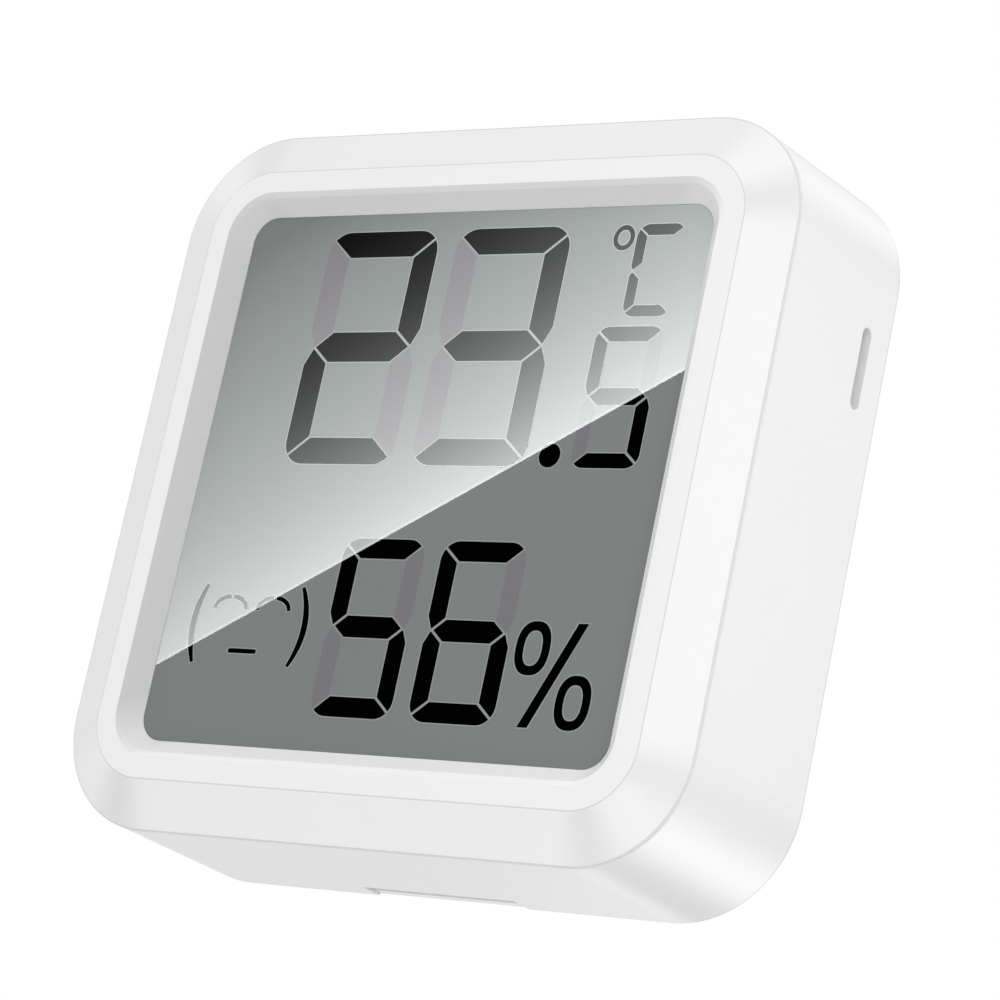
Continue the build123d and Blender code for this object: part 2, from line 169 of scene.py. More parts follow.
@dataclass(frozen=True)
class MouldedAbs(Finish):
    """White ABS from a spark-eroded mould: a fine matt grain with a soft sheen.

    The real grain is about 0.05 mm wide. It is drawn three times as coarse, so that it shows.
    """

    name: str = "white_abs"
    colour: str = "#EEEEEE"
    roughness: float = 0.30
    ior: float = 1.53
    grain_mm: float = 0.16
    grain_height_mm: float = 0.009
    grain_strength: float = 0.5
    cloud_mm: float = 9.0
    cloud_share: float = 0.975
    edge_round_mm: float = 0.05
    # Painted shade: dark in the parting groove, grey along the moulded edges
    groove_shade_colour: str = "#8C8C8C"
    edge_shade_colour: str = "#D2D2D2"
    joint: tuple[Depths, ...] = ()
    edges: tuple[Depths, ...] = ()

    def grained(self, tree: Tree, where: Socket) -> Node:
        """Grain on top of the slight rounding that every moulded edge has.

        Args:
            tree: the material's node tree.
            where: the piece's own coordinates.

        Returns:
            The node that gives the surface's direction.
        """
        grain = add_node(tree, "TexNoise",
                         {"Scale": scale_for(self.grain_mm), "Detail": 2.0, "Roughness": 0.6},
                         {"Vector": where})
        edge = add_node(tree, "Bevel", {"samples": 6, "Radius": self.edge_round_mm * MM})
        return add_node(tree, "Bump", {"Strength": self.grain_strength,
                                       "Distance": self.grain_height_mm * MM},
                        {"Height": grain, "Normal": edge})

    def clouded(self, tree: Tree, where: Socket) -> Socket:
        """The colour with the faint uneven shade that moulded plastic has.

        Args:
            tree: the material's node tree.
            where: the piece's own coordinates.

        Returns:
            The colour.
        """
        cloud = add_node(tree, "TexNoise", {"Scale": scale_for(self.cloud_mm), "Detail": 3.0},
                         {"Vector": where})
        tones = {6: linear(self.colour), 7: linear(self.colour, self.cloud_share)}
        return add_node(tree, "Mix", {"data_type": "RGBA", **tones}, {0: cloud}).outputs[2]

    def painted_shade_lines(self, tree: Tree, depth: Socket, colour: Socket) -> Socket:
        """Paints shade into the parting groove and a fine grey shade line along each moulded edge.

        The photograph shows such a line on every edge, which soft light alone doesn't give.

        Args:
            tree: the material's node tree.
            depth: place from front to back.
            colour: the colour elsewhere.

        Returns:
            The colour with the lines.
        """
        lines = [(stretch, self.groove_shade_colour) for stretch in self.joint]
        lines += [(stretch, self.edge_shade_colour) for stretch in self.edges]
        for stretch, tone in lines:
            colour = add_node(tree, "Mix", {"data_type": "RGBA", 7: linear(tone)},
                              {0: stretch.share(tree, depth), 6: colour}).outputs[2]
        return colour

    def shade(self, tree: Tree, where: Socket) -> Node:
        """Matt white with its grain, and painted shade in the groove and along the edges."""
        depth = add_node(tree, "SeparateXYZ", links={0: where}).outputs["Y"]
        colour = self.painted_shade_lines(tree, depth, self.clouded(tree, where))
        return add_node(tree, "BsdfPrincipled", {"Roughness": self.roughness, "IOR": self.ior},
                        {"Base Color": colour, "Normal": self.grained(tree, where)})


@dataclass(frozen=True)
class EndShade:
    """Painted shade at one end of each rounded corner of the bezel.

    It lies at an angle from the horizontal, and its two depths are for the lower and higher
    side of the middle.
    """

    turn: float
    low_depth: float
    high_depth: float
    reach: float = 24.0

    def amount(self, tree: Tree, turn: Node, place: Socket) -> Node:
        """How much light the shade takes.

        Args:
            tree: the material's node tree.
            turn: the angle round the corner's centre, in radians.
            place: place from the middle, whose sign picks the depth.

        Returns:
            The node with the share.
        """
        away = add_node(tree, "Math", {"operation": "SUBTRACT", 1: math.radians(self.turn)},
                        {0: turn})
        away = add_node(tree, "Math", {"operation": "ABSOLUTE"}, {0: away})
        near = add_node(tree, "MapRange",
                        {"interpolation_type": "SMOOTHSTEP", "From Min": 0.0,
                         "From Max": math.radians(self.reach), "To Min": 1.0, "To Max": 0.0},
                        {"Value": away})
        higher = add_node(tree, "Math", {"operation": "GREATER_THAN", 1: 0.0}, {0: place})
        depth = add_node(tree, "MapRange", {"To Min": self.low_depth, "To Max": self.high_depth},
                         {"Value": higher})
        return add_node(tree, "Math", {"operation": "MULTIPLY"}, {0: near, 1: depth})


@dataclass(frozen=True)
class BezelAbs(MouldedAbs):
    """The same ABS on the bezel, with a smoother slope round the display.

    Its slope has painted shade, greyer at the left and top, and its bevel has painted shade
    bands at both ends of each corner. White plastic mirrors only some four per cent of what
    stands round it, too little for cards to give these bands, so they are painted into its colour.
    """

    name: str = "bezel_abs"
    # Painted shade of the slope's left, bottom, right and top sides
    slope_shade_colours: tuple[str, str, str, str] = ("#C2C2C2", "#F2F2F2", "#FCFCFC", "#D6D6D6")
    slope_roughness: float = 0.35
    slope_half_width: float = 0.0
    slope_start: float = 0.0
    slope_turn_share: float = 0.015
    middle_height: float = 0.0
    corner_centre: float = 0.0
    bevel: Depths = Depths(0.0, 0.0)
    # Painted shade at both ends of each corner of the bevel
    side_shade: EndShade = EndShade(turn=16.0, low_depth=0.02, high_depth=0.10)
    level_shade: EndShade = EndShade(turn=75.0, low_depth=0.11, high_depth=0.045)

    def painted_corner_shade(self, tree: Tree, across: Socket, depth: Socket, height: Socket) -> Node:
        """What the painted shades at the ends of the bevel's corners leave of the colour.

        Args:
            tree: the material's node tree.
            across: place to the right of the middle.
            depth: place from front to back.
            height: height above the display's middle.

        Returns:
            The node with the share.
        """
        reach = []
        for place in (across, height):
            size = add_node(tree, "Math", {"operation": "ABSOLUTE"}, {0: place})
            reach.append(add_node(tree, "Math", {"operation": "SUBTRACT", 1: self.corner_centre},
                                  {0: size}))
        turn = add_node(tree, "Math", {"operation": "ARCTAN2"}, {0: reach[1], 1: reach[0]})
        both = add_node(tree, "Math", {"operation": "ADD"},
                        {0: self.side_shade.amount(tree, turn, across),
                         1: self.level_shade.amount(tree, turn, height)})
        shade = add_node(tree, "Math", {"operation": "MULTIPLY"},
                         {0: both, 1: self.bevel.share(tree, depth)})
        return add_node(tree, "Math", {"operation": "SUBTRACT", 0: 1.0}, {1: shade})

    def slope_share(self, tree: Tree, across: Socket, depth: Socket, height: Socket) -> Node:
        """One on the slope round the display, and zero elsewhere.

        Args:
            tree: the material's node tree.
            across: place to the right of the middle.
            depth: place from front to back.
            height: height above the display's middle.

        Returns:
            The node with that share.
        """
        sizes = [add_node(tree, "Math", {"operation": "ABSOLUTE"}, {0: place})
                 for place in (across, height)]
        reach = add_node(tree, "Math", {"operation": "MAXIMUM"}, {0: sizes[0], 1: sizes[1]})
        inside = add_node(tree, "Math", {"operation": "LESS_THAN", 1: self.slope_half_width},
                          {0: reach})
        behind = add_node(tree, "Math", {"operation": "GREATER_THAN", 1: self.slope_start},
                          {0: depth})
        return add_node(tree, "Math", {"operation": "MULTIPLY"}, {0: inside, 1: behind})

    def painted_slope_shade(self, tree: Tree, across: Socket, height: Socket) -> Node:
        """Painted shade of the slope: one tone on each side, with soft changes at the corners.

        Args:
            tree: the material's node tree.
            across: place to the right of the middle.
            height: height above the display's middle.

        Returns:
            The node with the colour.
        """
        turn = add_node(tree, "Math", {"operation": "ARCTAN2"}, {0: height, 1: across})
        share = add_node(tree, "MapRange", {"From Min": -math.pi, "From Max": math.pi},
                         {"Value": turn})
        ramp = add_node(tree, "ValToRGB", links={0: share})
        # The turn starts and ends at the left side, and a corner follows every quarter turn
        tones = [linear(colour) for colour in self.slope_shade_colours]
        stops = [(0.0, tones[0])]
        for index, before in enumerate(tones):
            corner = (2 * index + 1) / 8
            stops += [(corner - self.slope_turn_share, before),
                      (corner + self.slope_turn_share, tones[(index + 1) % len(tones)])]
        elements = ramp.color_ramp.elements
        while len(elements) < len(stops):
            elements.new(1.0)
        for element, (place, colour) in zip(elements, stops):
            element.position = place
            element.color = colour
        return ramp

    def shade(self, tree: Tree, where: Socket) -> Node:
        """Matt white, with painted shade on the slope, the bevel's corners, the groove and the
        edges.
        """
        parts = add_node(tree, "SeparateXYZ", links={0: where})
        across, depth = parts.outputs["X"], parts.outputs["Y"]
        height = add_node(tree, "Math", {"operation": "SUBTRACT", 1: self.middle_height},
                          {0: parts.outputs["Z"]}).outputs[0]
        slope = self.slope_share(tree, across, depth, height)
        shaded = add_node(tree, "VectorMath", {"operation": "SCALE"},
                          {0: self.clouded(tree, where),
                           "Scale": self.painted_corner_shade(tree, across, depth, height)})
        mixed = add_node(tree, "Mix", {"data_type": "RGBA"},
                         {0: slope, 6: self.painted_shade_lines(tree, depth, shaded.outputs[0]),
                          7: self.painted_slope_shade(tree, across, height)})
        roughness = add_node(tree, "Mix", {"data_type": "FLOAT", 2: self.roughness,
                                           3: self.slope_roughness}, {0: slope})
        return add_node(tree, "BsdfPrincipled", {"IOR": self.ior},
                        {"Base Color": mixed.outputs[2], "Roughness": roughness,
                         "Normal": self.grained(tree, where)})


@dataclass(frozen=True)
class GlareEdge:
    """Slanting edge of the soft box that the display mirrors, in millimetres from its middle."""

    left: Point = (-16.03, -11.52)
    right: Point = (16.0, 6.43)

    def beyond(self, tree: Tree, across: Socket, up: Socket, middle: Point = (0.0, 0.0)) -> Node:
        """How far a point lies above the edge, in millimetres.

        Args:
            tree: the material's node tree.
            across: the point's place to the right, in metres.
            up: its place upwards, in metres.
            middle: the display's middle in those coordinates, in metres.

        Returns:
            The node with the distance.
        """
        run = (Vector(self.right) - Vector(self.left)).normalized()
        normal = Vector((-run.y, run.x))
        offset = normal.dot(Vector(self.left)) + normal.dot(Vector(middle)) / MM
        side = add_node(tree, "Math", {"operation": "MULTIPLY_ADD", 1: normal.x / MM, 2: -offset},
                        {0: across})
        return add_node(tree, "Math", {"operation": "MULTIPLY_ADD", 1: normal.y / MM},
                        {0: up, 2: side})


@dataclass(frozen=True)
class DisplayLayer(Finish):
    """One tone of the liquid-crystal display, all under the same glossy hard-coated film.

    Above the soft box's edge light is painted into every tone, so that it is lighter.
    This painted light is nothing at the edge and at its reach, and most half way between.
    """

    name: str
    colour: str
    middle: Point
    edge: GlareEdge = GlareEdge()
    mottle_mm: float = 0.25
    mottle_share: float = 0.97
    roughness: float = 0.005
    ior: float = 1.5
    # Painted light above the soft box's edge
    painted_light_share: float = 0.506
    painted_light_reach_mm: float = 21.9
    painted_light_power: float = 0.91

    def glow(self, tree: Tree, where: Socket) -> Node:
        """Factor of the painted light: one below the edge, most in the band's middle.

        Args:
            tree: the material's node tree.
            where: the piece's own coordinates.

        Returns:
            The node with the factor.
        """
        parts = add_node(tree, "SeparateXYZ", links={0: where})
        beyond = self.edge.beyond(tree, parts.outputs["X"], parts.outputs["Z"], self.middle)
        share = add_node(tree, "MapRange", {"From Min": 0.0, "From Max": self.painted_light_reach_mm},
                         {"Value": beyond})
        # A parabola that is nought at both ends and one half way
        fall = add_node(tree, "Math", {"operation": "MULTIPLY_ADD", 1: -4.0, 2: 4.0}, {0: share})
        hump = add_node(tree, "Math", {"operation": "MULTIPLY"}, {0: share, 1: fall})
        shaped = add_node(tree, "Math", {"operation": "POWER", 1: self.painted_light_power}, {0: hump})
        return add_node(tree, "Math", {"operation": "MULTIPLY_ADD", 1: self.painted_light_share, 2: 1.0},
                        {0: shaped})

    def shade(self, tree: Tree, where: Socket) -> Node:
        """Smooth film over a faintly mottled tone, with painted light above the soft box's edge."""
        mottle = add_node(tree, "TexNoise", {"Scale": scale_for(self.mottle_mm), "Detail": 2.0},
                          {"Vector": where})
        tones = {6: linear(self.colour), 7: linear(self.colour, self.mottle_share)}
        colour = add_node(tree, "Mix", {"data_type": "RGBA", **tones}, {0: mottle})
        lighter = add_node(tree, "VectorMath", {"operation": "SCALE"},
                           {0: colour.outputs[2], "Scale": self.glow(tree, where)})
        return add_node(tree, "BsdfPrincipled", {"Roughness": self.roughness, "IOR": self.ior},
                        {"Base Color": lighter})


@dataclass(frozen=True)
class SodaGlass(Finish):
    """Soda-lime float glass: clear and smooth, with a faint green tint."""

    name: str = "soda_glass"
    colour: str = "#DDE8E4"
    roughness: float = 0.03
    ior: float = 1.52
    clearness: float = 0.85
    wave_mm: float = 6.0
    wave_height_mm: float = 0.01
    wave_strength: float = 0.1

    def shade(self, tree: Tree, where: Socket) -> Node:
        """Clear glass with a barely wavy face."""
        wave = add_node(tree, "TexNoise", {"Scale": scale_for(self.wave_mm), "Detail": 1.0},
                        {"Vector": where})
        bump = add_node(tree, "Bump", {"Strength": self.wave_strength,
                                       "Distance": self.wave_height_mm * MM}, {"Height": wave})
        return add_node(tree, "BsdfPrincipled",
                        {"Base Color": linear(self.colour), "Roughness": self.roughness,
                         "IOR": self.ior, "Transmission Weight": self.clearness}, {"Normal": bump})


@dataclass(frozen=True)
class GrainedSolid(Finish):
    """A non-metal in one colour with a fine grain: moulded plastic, film, foam or powder.

    A grain that is too fine for the render is drawn some 0.1 mm wide, so that it shows close by.
    """

    name: str
    colour: str
    second_colour: str
    grain_mm: float
    grain_height_mm: float
    roughness: float
    ior: float = 1.5
    grain_strength: float = 0.6

    def shade(self, tree: Tree, where: Socket) -> Node:
        """Two close tones that follow the grain."""
        grain = add_node(tree, "TexNoise", {"Scale": scale_for(self.grain_mm), "Detail": 3.0},
                         {"Vector": where})
        tones = {6: linear(self.colour), 7: linear(self.second_colour)}
        colour = add_node(tree, "Mix", {"data_type": "RGBA", **tones}, {0: grain})
        bump = add_node(tree, "Bump", {"Strength": self.grain_strength,
                                       "Distance": self.grain_height_mm * MM}, {"Height": grain})
        return add_node(tree, "BsdfPrincipled", {"Roughness": self.roughness, "IOR": self.ior},
                        {"Base Color": colour.outputs[2], "Normal": bump})


@dataclass(frozen=True)
class BandedSolid(Finish):
    """A solid with fine straight bands: striped contact rubber, or tinned ends on ceramic."""

    name: str
    colour: str
    band_colour: str
    pitch_mm: float
    roughness: float
    ior: float = 1.45

    def shade(self, tree: Tree, where: Socket) -> Node:
        """Two tones by turns, once in every pitch."""
        bands = add_node(tree, "TexWave",
                         {"Scale": scale_for(self.pitch_mm) * math.tau / WAVE_RADIANS,
                          "Distortion": 0.0}, {"Vector": where})
        tones = {6: linear(self.colour), 7: linear(self.band_colour)}
        colour = add_node(tree, "Mix", {"data_type": "RGBA", **tones}, {0: bands.outputs["Fac"]})
        return add_node(tree, "BsdfPrincipled", {"Roughness": self.roughness, "IOR": self.ior},
                        {"Base Color": colour.outputs[2]})


@dataclass(frozen=True)
class SolderMask(Finish):
    """Green epoxy solder mask over glass cloth, whose weave shows faintly through."""

    name: str = "green_solder_mask"
    colour: str = "#1C6B3E"
    weave_colour: str = "#247A49"
    weave_mm: float = 0.5
    wave_mm: float = 4.0
    wave_height_mm: float = 0.01
    wave_strength: float = 0.3
    roughness: float = 0.32
    ior: float = 1.55

    def shade(self, tree: Tree, where: Socket) -> Node:
        """Glossy green over the weave, with a slightly uneven coat."""
        weave = add_node(tree, "TexChecker",
                         {"Scale": scale_for(self.weave_mm), "Color1": linear(self.colour),
                          "Color2": linear(self.weave_colour)}, {"Vector": where})
        wave = add_node(tree, "TexNoise", {"Scale": scale_for(self.wave_mm)}, {"Vector": where})
        bump = add_node(tree, "Bump", {"Strength": self.wave_strength,
                                       "Distance": self.wave_height_mm * MM}, {"Height": wave})
        return add_node(tree, "BsdfPrincipled", {"Roughness": self.roughness, "IOR": self.ior},
                        {"Base Color": weave, "Normal": bump})


@dataclass(frozen=True)
class PlatedSteel(Finish):
    """Nickel- or zinc-plated steel, rolled or turned, so that fine lines run one way.

    Real lines are about 0.01 mm apart. They are drawn coarser, so that they show close by.
    """

    name: str
    colour: str
    roughness: float
    line_mm: float = 0.08
    line_height_mm: float = 0.002
    line_strength: float = 0.25
    line_stretch: float = 14.0
    roughness_spread: Point = (0.8, 1.3)

    def shade(self, tree: Tree, where: Socket) -> Node:
        """Bright metal whose sheen is broken up by its lines."""
        drawn = add_node(tree, "Mapping", {"Scale": (1 / self.line_stretch, 1.0, 1.0)},
                         {"Vector": where})
        lines = add_node(tree, "TexNoise", {"Scale": scale_for(self.line_mm), "Detail": 2.0},
                         {"Vector": drawn})
        smoothest, roughest = (self.roughness * share for share in self.roughness_spread)
        spread = add_node(tree, "MapRange", {"To Min": smoothest, "To Max": roughest},
                          {"Value": lines})
        bump = add_node(tree, "Bump", {"Strength": self.line_strength,
                                       "Distance": self.line_height_mm * MM}, {"Height": lines})
        return add_node(tree, "BsdfPrincipled",
                        {"Base Color": linear(self.colour), "Metallic": 1.0},
                        {"Roughness": spread, "Normal": bump})


# Flat shapes of the display, in millimetres from the middle of the window

def keep_side(outline: Outline, through: Point, direction: Point, shift: float) -> Outline:
    """Cuts a convex outline along a line and keeps what lies to the line's left.

    Args:
        outline: the corners, in order.
        through: a point on the line.
        direction: the line's direction.
        shift: how far the line moves to its right first, so that more is kept.

    Returns:
        The corners of what is left.
    """
    length = math.hypot(*direction)
    normal = (-direction[1] / length, direction[0] / length)
    reach = [(p[0] - through[0]) * normal[0] + (p[1] - through[1]) * normal[1] + shift
             for p in outline]
    kept: Outline = []
    for here, there, a, b in zip(outline, outline[1:] + outline[:1], reach, reach[1:] + reach[:1]):
        if a >= 0:
            kept.append(here)
        if (a >= 0) != (b >= 0):
            share = a / (a - b)
            kept.append((here[0] + (there[0] - here[0]) * share,
                         here[1] + (there[1] - here[1]) * share))
    return kept


def oval(centre: Point, half_width: float, half_height: float, squareness: float = 2.0,
         steps: int = 48) -> Outline:
    """Points round a circle, an ellipse or a squarer oval.

    Args:
        centre: the middle.
        half_width: reach to each side.
        half_height: reach up and down.
        squareness: two for an ellipse, more for squarer shoulders.
        steps: how many points.

    Returns:
        The points, counter-clockwise.
    """
    points = []
    for index in range(steps):
        angle = math.tau * index / steps
        across, up = (math.copysign(abs(way) ** (2 / squareness), way)
                      for way in (math.cos(angle), math.sin(angle)))
        points.append((centre[0] + half_width * across, centre[1] + half_height * up))
    return points


def rounded_box(left: float, right: float, bottom: float, top: float, radius: float,
                steps: int = 10) -> Outline:
    """Points round a rectangle with rounded corners.

    Args:
        left: lowest x.
        right: highest x.
        bottom: lowest y.
        top: highest y.
        radius: corner radius.
        steps: points on each corner.

    Returns:
        The points, counter-clockwise.
    """
    corners = ((right - radius, bottom + radius, -90), (right - radius, top - radius, 0),
               (left + radius, top - radius, 90), (left + radius, bottom + radius, 180))
    points = []
    for x, y, start in corners:
        for index in range(steps + 1):
            angle = math.radians(start + 90 * index / steps)
            points.append((x + radius * math.cos(angle), y + radius * math.sin(angle)))
    return points


@dataclass
class FlatWork:
    """Collects thin flat prisms on the display's face, in layers of their own height."""

    face_y: float
    middle: Point
    mesh: bmesh.types.BMesh = field(default_factory=bmesh.new)

    def place(self, point: Point, height: float) -> Vector:
        """Place in metres of a point and height on the display, both in millimetres."""
        return Vector(((self.middle[0] + point[0]) * MM, self.face_y - height * MM,
                       (self.middle[1] + point[1]) * MM))

    def strip(self, first: Outline, second: Outline, height: float, tone: int,
              closed: bool) -> None:
        """Adds a flat band between two rows of points, as a thin solid.

        Args:
            first: one edge of the band.
            second: the other edge, with as many points.
            height: how thick the band is, in millimetres.
            tone: index of its material.
            closed: whether the band runs round and meets itself.
        """
        rows = [[self.mesh.verts.new(self.place(p, h)) for p in edge]
                for edge, h in ((first, height), (second, height), (second, 0), (first, 0))]
        count = len(first)
        runs = count if closed else count - 1
        for row, following in zip(rows, rows[1:] + rows[:1]):
            for index in range(runs):
                after = (index + 1) % count
                face = self.mesh.faces.new((row[index], row[after], following[after],
                                            following[index]))
                face.material_index = tone
        if not closed:
            for end in (0, -1):
                self.mesh.faces.new([row[end] for row in rows]).material_index = tone

    def plate(self, outline: Outline, height: float, tone: int) -> None:
        """Adds a flat plate as a thin solid.

        Args:
            outline: its corners, in order.
            height: how thick it is, in millimetres.
            tone: index of its material.
        """
        front, back = ([self.mesh.verts.new(self.place(p, h)) for p in outline]
                       for h in (height, 0))
        faces = [front, back[::-1]]
        for index in range(len(outline)):
            after = (index + 1) % len(outline)
            faces.append([front[index], back[index], back[after], front[after]])
        for face in faces:
            self.mesh.faces.new(face).material_index = tone

    def finish(self, name: str, finishes: list[Material]) -> None:
        """Turns the collected prisms into a piece that rides on the case.

        Args:
            name: the piece's name.
            finishes: its materials, by tone.
        """
        bmesh.ops.recalc_face_normals(self.mesh, faces=self.mesh.faces)
        data = bpy.data.meshes.new(name)
        self.mesh.to_mesh(data)
        self.mesh.free()
        for material in finishes:
            data.materials.append(material)
        piece = bpy.data.objects.new(name, data)
        bpy.context.scene.collection.objects.link(piece)
        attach(piece, "case")
        LOG.info("built %s with %d faces", name, len(data.polygons))


class Tone(Enum):
    """Layers of the display's print, by material index."""

    LIT = 0
    HALO = 1
    RESTING = 2


class Segment(Enum):
    """Segments of a figure as they are lettered, by their side and their level.

    A side of -1 is left and 1 is right. A level of -1 is low and 1 is high.
    """

    A = (0, 1)
    B = (1, 1)
    C = (1, -1)
    D = (0, -1)
    E = (-1, -1)
    F = (-1, 1)
    G = (0, 0)


LIT_SEGMENTS = {2: "ABGED", 3: "ABGCD", 5: "AFGCD", 6: "AFGECD"}
CELSIUS_SEGMENTS = "AFED"


@dataclass(frozen=True)
class SegmentGlyph:
    """An upright seven-segment figure with mitred joints and rounded outer corners."""

    left: float
    right: float
    top: float
    bottom: float
    stroke: float
    middle: float
    middle_stroke: float
    corner_radius: float
    gap: float = 0.15
    mitre_rise: float = 0.82
    waist_share: float = 0.7
    waist_inset_share: float = 0.33

    def inner_side(self, side: int) -> float:
        """Inner edge of the uprights on that side."""
        return self.right - self.stroke if side > 0 else self.left + self.stroke

    def inner_level(self, level: int) -> float:
        """Inner edge of the bar at that level."""
        return self.top - self.stroke if level > 0 else self.bottom + self.stroke

    def body(self, grow: float) -> Outline:
        """Outline of the whole figure, spread by that much on every side."""
        return rounded_box(self.left - grow, self.right + grow, self.bottom - grow,
                           self.top + grow, self.corner_radius + grow)

    def cut_joint(self, outline: Outline, side: int, height: float, slant: int, keep: int,
                  grow: float) -> Outline:
        """Cuts along a slanted joint between a bar and an upright.

        Args:
            outline: what is cut.
            side: the upright's side.
            height: where the joint meets the upright's inner edge.
            slant: 1 where the joint rises outwards, -1 where it falls.
            keep: 1 to keep the bar, -1 to keep the upright.
            grow: how far the kept shape spreads over the line.

        Returns:
            What is left.
        """
        turn = side * slant * keep
        direction = (side * turn, slant * self.mitre_rise * turn)
        return keep_side(outline, (self.inner_side(side), height), direction, grow - self.gap / 2)

    def bar(self, level: int, grow: float) -> Outline:
        """The top or bottom bar.

        Args:
            level: its level.
            grow: how far it spreads on every side.

        Returns:
            Its corners.
        """
        edge = self.inner_level(level)
        shape = keep_side(self.body(grow), (0, edge), (level, 0), grow)
        for side in (-1, 1):
            shape = self.cut_joint(shape, side, edge, level, 1, grow)
        return shape

    def upright(self, side: int, level: int, grow: float) -> Outline:
        """One of the four uprights, with its pointed waist end.

        Args:
            side: its side.
            level: its level.
            grow: how far it spreads on every side.

        Returns:
            Its corners.
        """
        shape = keep_side(self.body(grow), (self.inner_side(side), 0), (0, -side), grow)
        shape = self.cut_joint(shape, side, self.inner_level(level), level, -1, grow)
        shape = self.cut_joint(shape, side, self.middle + level * self.middle_stroke / 2, -level,
                               -1, grow)
        outer = self.right if side > 0 else self.left
        waist = (outer, self.middle + level * self.waist_share * self.stroke)
        lean = (level * self.waist_inset_share, side * self.waist_share)
        shape = keep_side(shape, waist, lean, grow)
        return keep_side(shape, (0, self.middle), (level, 0), grow - self.gap / 2)

    def middle_bar(self, grow: float) -> Outline:
        """The pointed middle bar, spread by that much on every side."""
        low, high = self.middle - self.middle_stroke / 2, self.middle + self.middle_stroke / 2
        shape = [(self.left, low - grow), (self.right, low - grow),
                 (self.right, high + grow), (self.left, high + grow)]
        for side in (-1, 1):
            for level, height in ((-1, low), (1, high)):
                shape = self.cut_joint(shape, side, height, -level, 1, grow)
        return shape

    def outline(self, segment: Segment, grow: float) -> Outline:
        """Corners of a segment.

        Args:
            segment: which one.
            grow: how far it spreads on every side.

        Returns:
            The corners in order.
        """
        side, level = segment.value
        if side:
            return self.upright(side, level, grow)
        return self.bar(level, grow) if level else self.middle_bar(grow)


